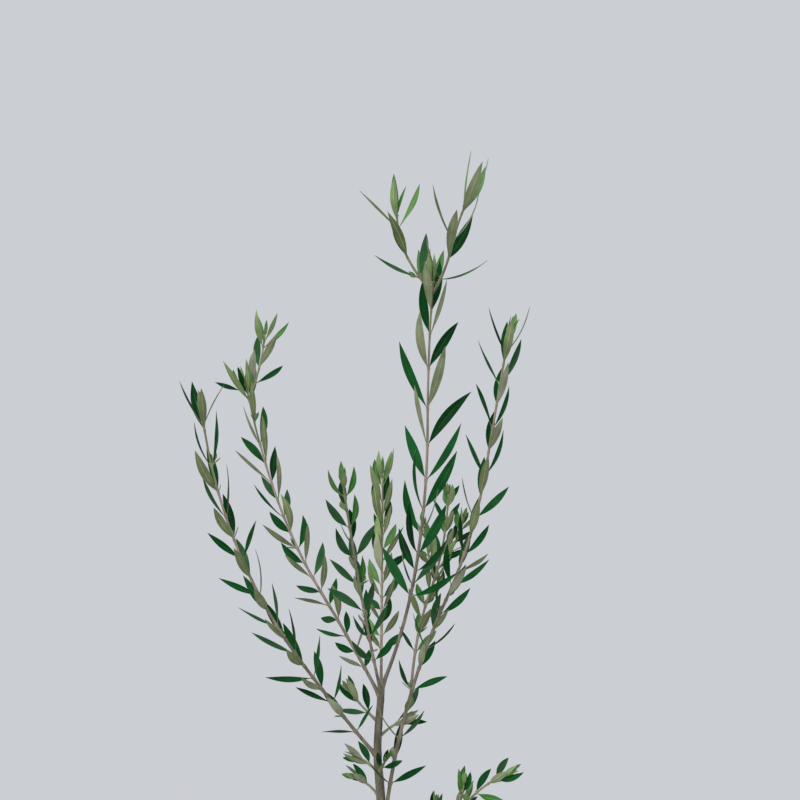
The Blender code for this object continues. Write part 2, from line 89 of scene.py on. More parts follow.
WALK = 0.004
WALK_ROUNDING = 0.003
FOOT_RADIUS = 0.0011
RADIUS_PER_LENGTH = 0.0018
TIP_RADIUS = 0.0009
TIP_PAIR_GAP = 0.006
PAIR_STAGGER = 0.0004

RISE = (64, 54, 43, 35, 32)
LEAF_WIDTH = 0.0048
WIDTH_PER_LENGTH = 0.078
SIZE_RANGE = (0.88, 1.12)
TURN_RANGE = 18
TILT_SPREAD = 7
CURL = 24
CURL_SPREAD = 14
ROLL_RANGE = 22
LEAST_CURL = 1e-3
# The rise, size and curl of the close pairs at a shoot's tip, and how far tilt acts on them.
TIP_PAIRS = ((42, 1.0, 30), (26, 0.8, 16), (12, 0.5, 8))
TIP_TILT_SHARE = 0.4
LIGHT = Vector((0.0, -0.8, 0.6))
TOO_FAR_TO_TURN = 90
SIDE_STEPS = (0, 24, -24, 48, -48)

# name: the shoot, and the node of its leaves unless it belongs to another shoot's mass
# parent, at: the limb that it leaves, and how far along that
# heading: degrees round from +X; lean: degrees off the vertical, from foot to tip
# bare: its leafless foot, which is a bough of its own
# first, gaps: where its leaf pairs begin, and the spacing from foot to tip
# phase: the first pair's angle round the stem; leaf: leaf lengths from foot to tip
# facing: the most that a leaf turns its blade to the light, in degrees
Shoot = namedtuple(
    "Shoot", "name parent at heading lean length bare first gaps phase leaf facing seed"
)
SHOOTS = (
    Shoot("far_left", "trunk", 0.36, 200, (40, 36, 22, 8), 0.39, 0.024,
          0.036, (0.024, 0.015, 0.018, 0.025, 0.030), 0, (0.034, 0.046, 0.048, 0.054), 15, 1),
    Shoot("left", "trunk", 0.42, 145, (35, 40, 25, 15), 0.36, 0.022,
          0.034, (0.020, 0.017, 0.020, 0.028), 45, (0.028, 0.044, 0.055), 60, 2),
    Shoot("left_tip", "left", 0.35, 60, (35, 10), 0.075, 0.0,
          0.020, (0.018,), 45, (0.045, 0.042), 45, 3),
    Shoot("left_twig", "left", 0.35, 190, (50, 20), 0.025, 0.0,
          0.010, (0.010,), 0, (0.040, 0.015), 45, 4),
    Shoot("leader", "trunk", 0.43, -30, (25, 10, 0, 5), 0.41, 0.090,
          0.100, (0.014, 0.012, 0.033, 0.040, 0.004), 135, (0.040, 0.060, 0.070, 0.055), 65, 5),
    Shoot("leader_left", "leader", 0.40, 200, (45, 30, 0), 0.085, 0.0,
          0.020, (0.022,), 0, (0.050, 0.055), 15, 6),
    Shoot("leader_right", "leader", 0.40, -25, (35, 15, 25), 0.095, 0.0,
          0.016, (0.020,), 0, (0.055, 0.065), 15, 7),
    Shoot("right", "trunk", 0.27, -20, (5, 15, 25, 10, 10), 0.525, 0.050,
          0.065, (0.020, 0.026, 0.015, 0.024, 0.018), 0, (0.040, 0.040, 0.044, 0.046), 25, 8),
    Shoot("right_inner", "right", 0.16, 60, (5, 40, 5), 0.21, 0.0,
          0.040, (0.018, 0.014, 0.011), 30, (0.028, 0.036, 0.026), 50, 9),
    Shoot("inner_left", "right_inner", 0.12, 130, (25, 10), 0.055, 0.0,
          0.014, (0.010,), 45, (0.024, 0.020), 50, 10),
    Shoot("inner_right", "right_inner", 0.13, 20, (45, 15), 0.060, 0.0,
          0.014, (0.010,), 45, (0.026, 0.022), 50, 11),
    Shoot("front", "trunk", 0.425, 255, (35, 30, 25), 0.25, 0.035,
          0.045, (0.015, 0.017), 0, (0.030, 0.040, 0.034), 45, 12),
    Shoot("back", "trunk", 0.425, 90, (30, 30, 25), 0.24, 0.035,
          0.045, (0.014, 0.013), 45, (0.030, 0.042, 0.044), 65, 13),
    Shoot("low_right", "trunk", 0.185, -35, (20, 45, 10), 0.19, 0.050,
          0.060, (0.020, 0.014), 20, (0.028, 0.032, 0.028), 50, 14),
    Shoot("low_right_arm", "low_right", 0.155, -10, (30, 65), 0.070, 0.0,
          0.018, (0.015,), 60, (0.028, 0.030, 0.024), 60, 15),
    Shoot("low_front_left", "trunk", 0.15, 220, (35, 45, 15), 0.17, 0.045,
          0.055, (0.018, 0.020, 0.014), 50, (0.028, 0.036, 0.030), 45, 16),
    Shoot("low_back", "trunk", 0.12, 110, (35, 45, 15), 0.165, 0.045,
          0.055, (0.018, 0.020, 0.014), 10, (0.028, 0.036, 0.030), 45, 17),
    Shoot("low_front", "trunk", 0.09, 295, (40, 50, 20), 0.175, 0.045,
          0.055, (0.018, 0.020, 0.014), 70, (0.028, 0.036, 0.030), 45, 18),
    Shoot("low_left", "trunk", 0.075, 170, (40, 45, 10), 0.15, 0.045,
          0.055, (0.018, 0.020, 0.014), 30, (0.028, 0.034, 0.028), 45, 19),
    Shoot("low_back_right", "trunk", 0.205, 40, (40, 45, 15), 0.115, 0.040,
          0.050, (0.017, 0.014), 0, (0.026, 0.032, 0.026), 45, 20),
    Shoot("twig_left", "trunk", 0.315, 185, (20, 70), 0.035, 0.0,
          0.016, (0.010,), 90, (0.026, 0.028), 60, 21),
    Shoot("twig_upper_left", "trunk", 0.395, 170, (50, 40), 0.040, 0.0,
          0.014, (0.010,), 20, (0.026, 0.030), 60, 22),
    Shoot("twig_mid_left", "trunk", 0.345, 150, (55, 70), 0.025, 0.0,
          0.014, (0.010,), 60, (0.030, 0.034), 60, 24),
    Shoot("twig_right", "trunk", 0.38, 15, (50, 65), 0.030, 0.0,
          0.014, (0.012,), 70, (0.034, 0.036), 60, 25),
    Shoot("twig_front", "trunk", 0.345, 290, (55, 45), 0.025, 0.0,
          0.013, (0.010,), 0, (0.028, 0.030), 60, 23),
)

BY_NAME = {shoot.name: shoot for shoot in SHOOTS}

# -------------------------------- values of the finer forms

# How near a leaf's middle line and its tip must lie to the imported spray, whose leaves have the
# same tips, for it to be the one that stands there; with the parts of its length that are tried.
LEAF_MATCH = 0.0008
TIP_MATCH = 0.0001
MATCHED_AT = ((0.55, LEAF_MATCH), (0.8, LEAF_MATCH), (1.0, TIP_MATCH))

PETIOLE = 0.0040
PETIOLE_SHARE = 0.11
PETIOLE_HALF = 0.0006
PETIOLE_RINGS = (0.0, 0.55)
LEAF_THICKNESS = 0.00034
EDGE_THINNING = 0.75
RIB_DEPTH = 0.00045
GROOVE = 0.00012
FOLD = 0.24
EDGE_ROLL = 0.13
RIPPLE = 0.05
RIPPLES = 7.0
BLADE_STEPS = 15
# A blade's fullness, more for a slim one, and what varies from leaf to leaf: fullness, the place
# where it is broadest, its sideways bend and the twist of its length.
FULLNESS = 0.62
FULLNESS_PER_SLIMNESS = 0.09
MOST_FULLNESS = 1.08
FULLNESS_RANGE = 0.08
BROADEST_RANGE = (0.88, 1.04)
SICKLE_SPREAD = 0.018
TWIST_SPREAD = 0.18

# Places across a leaf, in half widths: its upper face from edge to edge, then its under face.
# Faces whose two places add up to less than RIB_REACH are the rib's.
UPPER_ACROSS = (-1.0, -0.68, -0.34, -0.05, 0.0, 0.05, 0.34, 0.68, 1.0)
UNDER_ACROSS = (0.68, 0.34, 0.08, 0.0, -0.08, -0.34, -0.68)
RIB_REACH = 0.12

# The sprays whose leaves are the outer piece, the share of leaves in their shoot's own tone, and
# the share of leaf pairs with a side sprig in place of a bud.
OUTER_SPRAYS = ("far_left", "left", "leader")
OWN_TONE_SHARE = 0.3
SPRIG_SHARE = 0.16
# The way of a bud or sprig: so much along its stem, and so much out of it.
AXIL_WAY = (0.85, 0.52)
BUD_SIZES = (0.0006, 0.0009)
BUD_SHAPE = (0.55, 0.55, 1.3)

# The shoots with bright young tips, and the share of young leaves further down them.
YOUNG_SHOOTS = {
    "left": 0.0, "left_tip": 0.3, "leader": 0.0, "leader_left": 0.0, "leader_right": 0.0,
    "right": 0.0, "right_inner": 0.3, "inner_left": 0.5, "inner_right": 0.5,
    "front": 0.15, "back": 0.15, "low_right": 0.1, "low_right_arm": 0.5,
}
YOUNG_REACH = 0.022
YOUNG_AT_TIP = 1.15

# The small leaves of sprigs and growing tips: how far they stray round the stem, in degrees,
# their range of size, width per length, and curl. Then the place, rise and length of each pair on
# a sprig, and the rise and length of each at a tip.
SmallLeaf = namedtuple("SmallLeaf", "stray sizes width curl")
SPRIG_LEAF = SmallLeaf(15, (0.75, 1.2), 0.30, 14)
TIP_LEAF = SmallLeaf(20, (0.8, 1.2), 0.28, 12)
SPRIG_PAIRS = ((0.55, 38, 0.0105), (1.0, 18, 0.0075))
TIP_LEAF_PAIRS = ((20, 0.014), (9, 0.009))
TIP_STEP = 0.0008
SPRIG_REACH = (0.003, 0.007)
SPRIG_ROOT = 0.0006
SPRIG_RADIUS = 0.0005
SPRIG_SIDES = 6
SPRIG_STEP = 0.001
SPRIG_BUD = 0.0008

BOUGH_SIDES = 20
BOUGH_STEP = 0.0015
STEM_SIDES = 10
STEM_STEP = 0.0025
STEM_OVERLAP = 0.0004
STEM_POINT = 0.0012
STEM_RIDGES = 0.05
STEM_ROUGHNESS = 0.07
NODE_SWELL = 0.32
NODE_REACH = 0.0014
COLLAR_SWELL = 0.7
COLLAR_REACH = 0.006
GREEN_TIP = 0.060
TAN_LENGTH = 0.230

BARK_SIDES = 48
BARK_STEP = 0.0012
BARK_RELIEF = 0.00022
BARK_ROUND = 1.9
# The bark's ridges, cracks and lumps: scale round the trunk, start, and scale along it.
BARK_LAYERS = ((1.0, (0.0, 0.0), 45.0), (2.7, (7.0, 0.0), 120.0), (0.4, (0.0, 3.0), 28.0))
ROOT_LOBES = 5.0
ROOT_LOBE_DEPTH = 0.25
ROOT_LOBE_REACH = 1.6
TRUNK_SUNK = 0.004
NODE_SCAR_GAP = 0.027
NODE_SCAR_SLANT = 0.006
NODE_SCAR_REACH = 0.0011
NODE_SCAR = 0.00028
LENTICELS = 190
LENTICEL_SIZES = (0.00022, 0.00045)


# -------------------------------- the growth rule


def blend(knots, t):
    """The value at t, from 0 to 1, between evenly spaced knots."""
    if len(knots) == 1:
        return knots[0]
    place = min(max(t, 0.0), 1.0) * (len(knots) - 1)
    low = min(int(place), len(knots) - 2)
    return knots[low] + (knots[low + 1] - knots[low]) * (place - low)


class Line:
    """The centre line of a limb, as points a short walk apart."""

    def __init__(self, points):
        self.points = points
        self.marks = [0.0]
        for low, high in zip(points, points[1:]):
            self.marks.append(self.marks[-1] + (high - low).length)
        self.length = self.marks[-1]

    def at(self, distance):
        """The point this far along, and the direction there."""
        step = 1
        while step < len(self.marks) - 1 and self.marks[step] < distance:
            step += 1
        low, high = self.points[step - 1], self.points[step]
        along = (high - low).normalized()
        return low + along * (distance - self.marks[step - 1]), along

    def smooth_at(self, distance):
        """The same, with the walk's small corners rounded."""
        point, along = self.at(distance)
        before, _ = self.at(max(distance - WALK_ROUNDING, 0.0))
        after, _ = self.at(min(distance + WALK_ROUNDING, self.length))
        return point, (after - before).normalized()


def sway_at(height):
    """The trunk's sideways offset, with its bends rounded."""
    total = 0.0
    for shift in SWAY_ROUNDING:
        h = min(max(height + shift, 0.0), TRUNK_HEIGHT)
        step = 1
        while step < len(SWAY) - 1 and SWAY_HEIGHTS[step] < h:
            step += 1
        part = (h - SWAY_HEIGHTS[step - 1]) / (SWAY_HEIGHTS[step] - SWAY_HEIGHTS[step - 1])
        total += SWAY[step - 1] + (SWAY[step] - SWAY[step - 1]) * part
    return total / len(SWAY_ROUNDING)


def trunk_line():
    count = round(TRUNK_HEIGHT / WALK) + 1
    points = []
    for i in range(count):
        height = TRUNK_HEIGHT * i / (count - 1)
        bow = TRUNK_BOW * math.sin(math.pi * height / TRUNK_HEIGHT)
        points.append(Vector((sway_at(height), bow, trunk_low.z + height)))
    return Line(points)


def shoot_line(shoot, foot):
    count = math.ceil(shoot.length / WALK)
    heading = math.radians(shoot.heading)
    points = [foot]
    for i in range(count):
        t = (i + 0.5) / count
        lean = math.radians(blend(shoot.lean, t))
        level = Vector((math.cos(heading), math.sin(heading), 0.0))
        along = level * math.sin(lean) + Vector((0.0, 0.0, math.cos(lean)))
        points.append(points[-1] + along * shoot.length / count)
    return Line(points)


def all_lines():
    """The centre line of the trunk and of every shoot, by name."""
    lines = {"trunk": trunk_line()}
    for shoot in SHOOTS:
        foot, _ = lines[shoot.parent].at(shoot.at)
        lines[shoot.name] = shoot_line(shoot, foot)
    return lines


def trunk_radius(height):
    rest = max(1.0 - height / TRUNK_HEIGHT, 0.0)
    taper = (TRUNK_FOOT_RADIUS - TRUNK_TOP_RADIUS) * rest**TRUNK_TAPER
    return TRUNK_TOP_RADIUS + taper + FLARE * math.exp(-height / FLARE_REACH)


def shoot_radius(shoot, distance):
    foot = FOOT_RADIUS + RADIUS_PER_LENGTH * shoot.length
    return foot + (TIP_RADIUS - foot) * min(distance / shoot.length, 1.0)


Leaf = namedtuple("Leaf", "foot along inward twist length width curl")


def pair_places(shoot):
    """Each leaf pair's distance along its shoot and its rank among the tip pairs, or None."""
    places = []
    distance = shoot.first
    last = shoot.length - (len(TIP_PAIRS) + 0.5) * TIP_PAIR_GAP
    while distance < last:
        places.append((distance, None))
        distance += blend(shoot.gaps, distance / shoot.length)
    for rank in range(len(TIP_PAIRS)):
        to_tip = TIP_PAIR_GAP * (len(TIP_PAIRS) - 1 - rank)
        places.append((shoot.length - to_tip - TIP_RADIUS, rank))
    return places


def side_of(along, degrees):
    """The direction square to a stem at this angle round it."""
    right = Vector((0.0, 1.0, 0.0)).cross(along).normalized()
    angle = math.radians(degrees)
    return right * math.cos(angle) + along.cross(right) * math.sin(angle)


def turn_to_light(along, inward, most):
    """How far a blade turns round its own length to bring its upper side to the light."""
    across = along.cross(inward)
    angle = math.degrees(math.atan2(-LIGHT.dot(across), LIGHT.dot(inward)))
    return min(max(angle, -most), most) if abs(angle) < TOO_FAR_TO_TURN else 0.0


def leaf_choices(shoot, line):
    """For every leaf in turn, the ways it may stand: its own place first, then turned ones."""
    dice = random.Random(shoot.seed)
    for number, (distance, rank) in enumerate(pair_places(shoot)):
        t = distance / shoot.length
        for half in (0, 180):
            turn = dice.uniform(-TURN_RANGE, TURN_RANGE)
            tilt = dice.gauss(0, TILT_SPREAD)
            size = dice.uniform(*SIZE_RANGE)
            curl = dice.gauss(CURL, CURL_SPREAD)
            roll = dice.uniform(-ROLL_RANGE, ROLL_RANGE)
            rise, length = blend(RISE, t) + tilt, blend(shoot.leaf, t) * size
            width = LEAF_WIDTH + WIDTH_PER_LENGTH * length
            if rank is not None:
                tip_rise, tip_size, tip_curl = TIP_PAIRS[rank]
                rise = tip_rise + TIP_TILT_SHARE * tilt
                length, width = length * tip_size, width * tip_size
                curl += tip_curl - CURL
            up, side = math.cos(math.radians(rise)), math.sin(math.radians(rise))
            point, along = line.at(distance + (PAIR_STAGGER if half else 0.0))
            choices = []
            for step in SIDE_STEPS:
                out = side_of(along, shoot.phase + 90 * number + half + turn + step)
                way = along * up + out * side
                inward = along * side - out * up
                twist = math.radians(turn_to_light(way, inward, shoot.facing) + roll)
                choices.append(Leaf(point, way, inward, twist, length, width, math.radians(curl)))
            yield choices


def bend_of(leaf):
    """The turn from a leaf's foot to its tip, in radians and never nought."""
    return leaf.curl if abs(leaf.curl) > LEAST_CURL else LEAST_CURL


def leaf_middle(leaf, part):
    """A point on the leaf's curved middle line, from its foot at 0 to its tip at 1."""
    bend = bend_of(leaf)
    turn = bend * part
    middle = leaf.foot + leaf.along * (leaf.length * math.sin(turn) / bend)
    return middle + leaf.inward * (leaf.length * (1.0 - math.cos(turn)) / bend)


def standing_leaf(choices, solid):
    """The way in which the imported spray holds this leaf, or None where it has none."""
    for leaf in choices:
        if all(solid.find_nearest(leaf_middle(leaf, at))[3] < most for at, most in MATCHED_AT):
            return leaf
    return None


# -------------------------------- making pieces


def new_object(name, data):
    """An object of this data, in the scene."""
    thing = bpy.data.objects.new(name, data)
    bpy.context.scene.collection.objects.link(thing)
    return thing


def finish_piece(thing, nodes, sharp):
    """Smooths a piece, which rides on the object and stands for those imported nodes."""
    thing.data.shade_smooth()
    thing.data.set_sharp_from_angle(angle=math.radians(sharp))
    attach(thing, "root")
    if nodes:
        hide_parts(*nodes)


class Form:
    """Points, faces and material numbers of one piece, gathered before its mesh is made."""

    def __init__(self):
        self.points = []
        self.faces = []
        self.slots = []

    def sweep(self, rings, slot_of, tip=None):
        """A skin over rings of points, closed at its foot, and at its end by a cap or a tip."""
        count, sides = rings.shape[:2]
        base = len(self.points)
        self.points.extend(rings.reshape(-1, 3).tolist())
        for i in range(count - 1):
            for j in range(sides):
                a = base + i * sides + j
                b = base + i * sides + (j + 1) % sides
                self.faces.append((a, b, b + sides, a + sides))
                self.slots.append(slot_of(i, j))
        self.faces.append(tuple(base + j for j in reversed(range(sides))))
        self.slots.append(slot_of(0, 0))
        last = base + (count - 1) * sides
        if tip is None:
            self.faces.append(tuple(last + j for j in range(sides)))
            self.slots.append(slot_of(count - 2, 0))
            return
        self.points.append(list(tip))
        for j in range(sides):
            self.faces.append((last + j, last + (j + 1) % sides, len(self.points) - 1))
            self.slots.append(slot_of(count - 2, j))

    def blob(self, shape, place, turn, scale, slot=0):
        """A small lump: a copy of a round shape, scaled, turned and put in its place."""
        points, faces = shape
        base = len(self.points)
        for point in points:
            self.points.append(list(place + turn @ Vector(p * s for p, s in zip(point, scale))))
        self.faces += [tuple(base + i for i in face) for face in faces]
        self.slots += [slot] * len(faces)

    def piece(self, name, materials, slot, *nodes, sharp=50):
        """Makes the finished piece."""
        mesh = bpy.data.meshes.new(name)
        mesh.from_pydata(self.points, [], self.faces)
        for material in materials:
            mesh.materials.append(material)
        mesh.polygons.foreach_set("material_index", self.slots)
        finish_piece(new_object(name, mesh), nodes, sharp)


def nodes_of(kind):
    """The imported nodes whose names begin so, in order."""
    return [name for name in sorted(frame["nodes"]) if name.startswith(kind)]


def round_shape(steps):
    """Points and faces of an icosphere of radius 1."""
    form = bmesh.new()
    bmesh.ops.create_icosphere(form, subdivisions=steps, radius=1.0)
    shape = ([v.co.copy() for v in form.verts], [[v.index for v in f.verts] for f in form.faces])
    form.free()
    return shape


# -------------------------------- materials


def new_node(tree, kind, values=None):
    """A shader node, with the values of its inputs by name."""
    node = tree.nodes.new("ShaderNode" + kind)
    for name, value in (values or {}).items():
        node.inputs[name].default_value = value
    return node


def ramp(tree, source, stops):
    """A colour ramp on a grey value, from (place, colour) stops."""
    node = new_node(tree, "ValToRGB")
    while len(node.color_ramp.elements) < len(stops):
        node.color_ramp.elements.new(0.5)
    for element, (place, colour) in zip(node.color_ramp.elements, stops):
        element.position = place
        element.color = (*colour, 1.0)
    tree.links.new(source, node.inputs["Fac"])
    return node.outputs["Color"]


def noise_of(tree, scale, stretch=(1.0, 1.0, 1.0), detail=4.0, rough=0.55):
    """A noise value in the object's own space."""
    place = new_node(tree, "TexCoord")
    mapping = new_node(tree, "Mapping", {"Scale": stretch})
    node = new_node(tree, "TexNoise", {"Scale": scale, "Detail": detail, "Roughness": rough})
    tree.links.new(place.outputs["Object"], mapping.inputs["Vector"])
    tree.links.new(mapping.outputs["Vector"], node.inputs["Vector"])
    return node.outputs["Fac"]


def grey(value):
    return (value, value, value)


def bump(tree, source, depth, before=None):
    """Relief of this depth from a grey value, on top of the relief before it."""
    node = new_node(tree, "Bump", {"Strength": 1.0, "Distance": depth})
    tree.links.new(source, node.inputs["Height"])
    if before:
        tree.links.new(before, node.inputs["Normal"])
    return node.outputs["Normal"]


def shader_of(material):
    return material.node_tree.nodes["Principled BSDF"]


def new_material(name, roughness, specular):
    material = bpy.data.materials.new(name)
    material.use_nodes = True
    shader = shader_of(material)
    shader.inputs["Roughness"].default_value = roughness
    shader.inputs["Specular IOR Level"].default_value = specular
    return material


def mottled(name, dark, light, scale, roughness, specular, grain=None):
    """A material whose colour drifts between two tones, with a fine grain in its surface."""
    material = new_material(name, roughness, specular)
    tree, shader = material.node_tree, shader_of(material)
    drift = noise_of(tree, scale)
    tree.links.new(ramp(tree, drift, ((0.32, dark), (0.68, light))), shader.inputs["Base Color"])
    if grain:
        grain_scale, grain_depth = grain
        fine = noise_of(tree, grain_scale, detail=3.0)
        tree.links.new(bump(tree, fine, grain_depth), shader.inputs["Normal"])
    return material


def leaf_material(name, colour, roughness, specular):
    """One face of a leaf: a colour that drifts from end to end, and a fine leathery grain."""
    dark, light = (tuple(share * c for c in colour) for share in LEAF_DRIFT)
    return mottled(name, dark, light, 55.0, roughness, specular, grain=(900.0, 0.00006))


def bark_material(name, dark, middle, light, relief):
    """Young bark: streaks along the limb, with fine cracks and small specks in its relief."""
    material = new_material(name, 0.72, 0.35)
    tree, shader = material.node_tree, shader_of(material)
    streak = noise_of(tree, 320.0, (1.0, 1.0, 0.16), detail=6.0, rough=0.62)
    colour = ramp(tree, streak, ((0.30, dark), (0.50, middle), (0.70, light)))
    tree.links.new(colour, shader.inputs["Base Color"])
    crack = noise_of(tree, 700.0, (1.0, 1.0, 0.22), detail=4.0, rough=0.6)
    speck = noise_of(tree, 1500.0, detail=2.0)
    normal = bump(tree, speck, 0.25 * relief)
    tree.links.new(bump(tree, crack, relief, normal), shader.inputs["Normal"])
    return material


# Leaf tones: the upper faces from deep to soft green, the grey-green under faces, and the bright
# young ones; and how far a leaf's tone drifts to dark and to light.
LEAF_DRIFT = (0.76, 1.26)
UPPER_TONES = (
    (0.002, 0.040, 0.007), (0.003, 0.062, 0.010), (0.008, 0.084, 0.018), (0.032, 0.106, 0.038),
)
UNDER_TONES = (
    (0.135, 0.180, 0.066), (0.185, 0.225, 0.100), (0.235, 0.268, 0.145), (0.310, 0.330, 0.215),
)
UPPER_RIB = (0.022, 0.105, 0.030)
UNDER_RIB = (0.330, 0.345, 0.215)
YOUNG_TONES = ((0.040, 0.175, 0.024), (0.100, 0.250, 0.065))
YOUNG_UNDER = (0.200, 0.290, 0.115)
YOUNG_RIB = (0.280, 0.370, 0.150)

leaf_materials = [
    *(leaf_material(f"leaf_upper_{i}", tone, 0.42, 0.05) for i, tone in enumerate(UPPER_TONES)),
    *(leaf_material(f"leaf_under_{i}", tone, 0.80, 0.12) for i, tone in enumerate(UNDER_TONES)),
    leaf_material("leaf_upper_rib", UPPER_RIB, 0.50, 0.1),
    leaf_material("leaf_under_rib", UNDER_RIB, 0.65, 0.15),
]
young_materials = [
    *(leaf_material(f"young_upper_{i}", tone, 0.42, 0.2) for i, tone in enumerate(YOUNG_TONES)),
    leaf_material("young_under", YOUNG_UNDER, 0.75, 0.2),
    leaf_material("young_rib", YOUNG_RIB, 0.55, 0.25),
]
bud_material = leaf_material("bud", (0.180, 0.260, 0.090), 0.6, 0.3)


def grown_slots(tint):
    """The slots of a grown leaf of this tint among leaf_materials."""
    return (tint, len(UPPER_TONES) + tint, len(leaf_materials) - 2, len(leaf_materials) - 1)


def young_slots(tint):
    """The slots of a young leaf of this tint among young_materials."""
    return (tint, len(YOUNG_TONES), len(YOUNG_TONES) + 1, len(YOUNG_TONES) + 1)


trunk_bark = bark_material(
    "trunk_bark", (0.070, 0.060, 0.040), (0.150, 0.130, 0.090), (0.260, 0.235, 0.180), 0.00018
)
bough_bark = bark_material(
    "bough_bark", (0.120, 0.098, 0.068), (0.215, 0.180, 0.130), (0.330, 0.290, 0.225), 0.00010
)
tan_bark = bark_material(
    "tan_bark", (0.220, 0.165, 0.120), (0.330, 0.255, 0.195), (0.420, 0.350, 0.280), 0.00006
)
green_bark = bark_material(
    "green_bark", (0.190, 0.205, 0.100), (0.270, 0.275, 0.150), (0.350, 0.345, 0.220), 0.00005
)
pore_material = mottled("bark_pore", (0.26, 0.22, 0.16), (0.38, 0.34, 0.27), 400.0, 0.8, 0.3)


# -------------------------------- leaves


def leaf_rings(leaf, dice):
    """Rings of points round a leaf from its petiole to near its tip, and the tip itself."""
    stalk = min(PETIOLE / leaf.length, PETIOLE_SHARE)
    u = 0.5 - 0.5 * np.cos(np.pi * np.arange(BLADE_STEPS + 1) / BLADE_STEPS)
    t = np.concatenate([stalk * np.array(PETIOLE_RINGS), stalk + (1.0 - stalk) * u[:-1]])
    bend = bend_of(leaf)
    turn = bend * t
    along, inward = np.array(leaf.along), np.array(leaf.inward)
    level = np.cross(along, inward)

    slim = leaf.length / leaf.width
    fullness = min(FULLNESS + FULLNESS_PER_SLIMNESS * slim, MOST_FULLNESS)
    fullness += dice.uniform(-FULLNESS_RANGE, FULLNESS_RANGE)
    broadest = dice.uniform(*BROADEST_RANGE)
    sickle = dice.gauss(0.0, SICKLE_SPREAD)
    twist = leaf.twist + dice.gauss(0.0, TWIST_SPREAD) * (t - 0.5)
    wave = dice.uniform(0.0, 2.0 * math.pi)

    def column(values):
        return values[:, None]

    lifted = column(np.cos(turn)) * inward - column(np.sin(turn)) * along
    ways = column(np.cos(twist)) * level + column(np.sin(twist)) * lifted
    ups = column(np.cos(twist)) * lifted - column(np.sin(twist)) * level
    middle = np.array(leaf.foot) + column(leaf.length * np.sin(turn) / bend) * along
    middle = middle + column(leaf.length * (1.0 - np.cos(turn)) / bend) * inward
    middle = middle + column(leaf.length * sickle * np.sin(np.pi * t)) * ways

    blade = np.clip((t - stalk) / (1.0 - stalk), 0.0, 1.0) ** broadest
    share = (4.0 * blade * (1.0 - blade)) ** fullness
    half = np.hypot(PETIOLE_HALF * (1.0 - t), 0.5 * leaf.width * share)
    flat = np.clip((t - 0.7 * stalk) / (0.7 * stalk), 0.0, 1.0)

    v = np.array(UPPER_ACROSS + UNDER_ACROSS)
    is_upper = np.arange(len(v)) < len(UPPER_ACROSS)
    fold = FOLD * np.abs(v) ** 1.3 - EDGE_ROLL * v**4
    ripple = RIPPLE * v**2 * np.sin(RIPPLES * t[:, None] + wave + 1.5 * np.sign(v))
    top = half[:, None] * (fold + ripple) - GROOVE * (v == 0.0)
    depth = LEAF_THICKNESS * (1.0 - EDGE_THINNING * v**2)
    depth = depth + RIB_DEPTH * (1.0 - t[:, None]) * (v == 0.0)
    blade_height = np.where(is_upper, top, top + GROOVE * (v == 0.0) - depth)
    stalk_height = PETIOLE_HALF * np.sqrt(1.0 - v**2) * np.where(is_upper, 1.0, -1.0)
    height = flat[:, None] * blade_height + (1.0 - flat[:, None]) * stalk_height

    rings = middle[:, None, :] + (half[:, None] * v)[:, :, None] * ways[:, None, :]
    rings = rings + height[:, :, None] * ups[:, None, :]
    return rings, leaf_middle(leaf, 1.0)


def leaf_slots(upper, under, upper_rib, under_rib):
    """Material numbers on a leaf: its two faces, and the ribs that run up the middle of them."""
    last_upper = len(UPPER_ACROSS) - 1
    rim = (*UPPER_ACROSS, *UNDER_ACROSS, UPPER_ACROSS[0])

    def slot_of(ring, place):
        middle = abs(rim[place] + rim[place + 1]) < RIB_REACH
        if ring < len(PETIOLE_RINGS):
            return under_rib
        if place < last_upper:
            return upper_rib if middle else upper
        return under_rib if middle else under

    return slot_of


def add_leaf(form, leaf, dice, slots):
    rings, tip = leaf_rings(leaf, dice)
    form.sweep(rings, leaf_slots(*slots), tip)


# -------------------------------- limbs


def limb_rings(line, start, end, step, sides, radius_at):
    """Rings round a limb; radius_at gives the radius at a distance and an angle in degrees."""
    count = max(2, math.ceil((end - start) / step) + 1)
    rings = np.empty((count, sides, 3))
    for i in range(count):
        distance = start + (end - start) * i / (count - 1)
        point, along = line.smooth_at(distance)
        right = Vector((0.0, 1.0, 0.0)).cross(along).normalized()
        deep = along.cross(right)
        for j in range(sides):
            degrees = 360.0 * j / sides
            angle = math.radians(degrees)
            out = right * math.cos(angle) + deep * math.sin(angle)
            rings[i, j] = point + out * radius_at(distance, degrees)
    return rings


def stem_radius(shoot, parent_radius):
    """A stem's radius: swollen at its leaf pairs, collared at its foot, slightly four-sided."""
    places = [distance for distance, _ in pair_places(shoot)]
    collar = min(COLLAR_SWELL, parent_radius / shoot_radius(shoot, 0.0) - 1.0)

    def radius_at(distance, degrees):
        radius = shoot_radius(shoot, distance)
        near = min(abs(distance - place) for place in places)
        radius *= 1.0 + NODE_SWELL * math.exp(-((near / NODE_REACH) ** 2))
        beyond = max(distance - parent_radius, 0.0)
        radius *= 1.0 + collar * math.exp(-beyond / COLLAR_REACH)
        if shoot.length - distance < GREEN_TIP:
            radius *= 1.0 + STEM_RIDGES * math.cos(math.radians(4 * (degrees - shoot.phase)))
        rough = noise.noise(Vector((degrees * 0.012, distance * 260.0, shoot.seed)))
        return radius * (1.0 + STEM_ROUGHNESS * rough)

    return radius_at


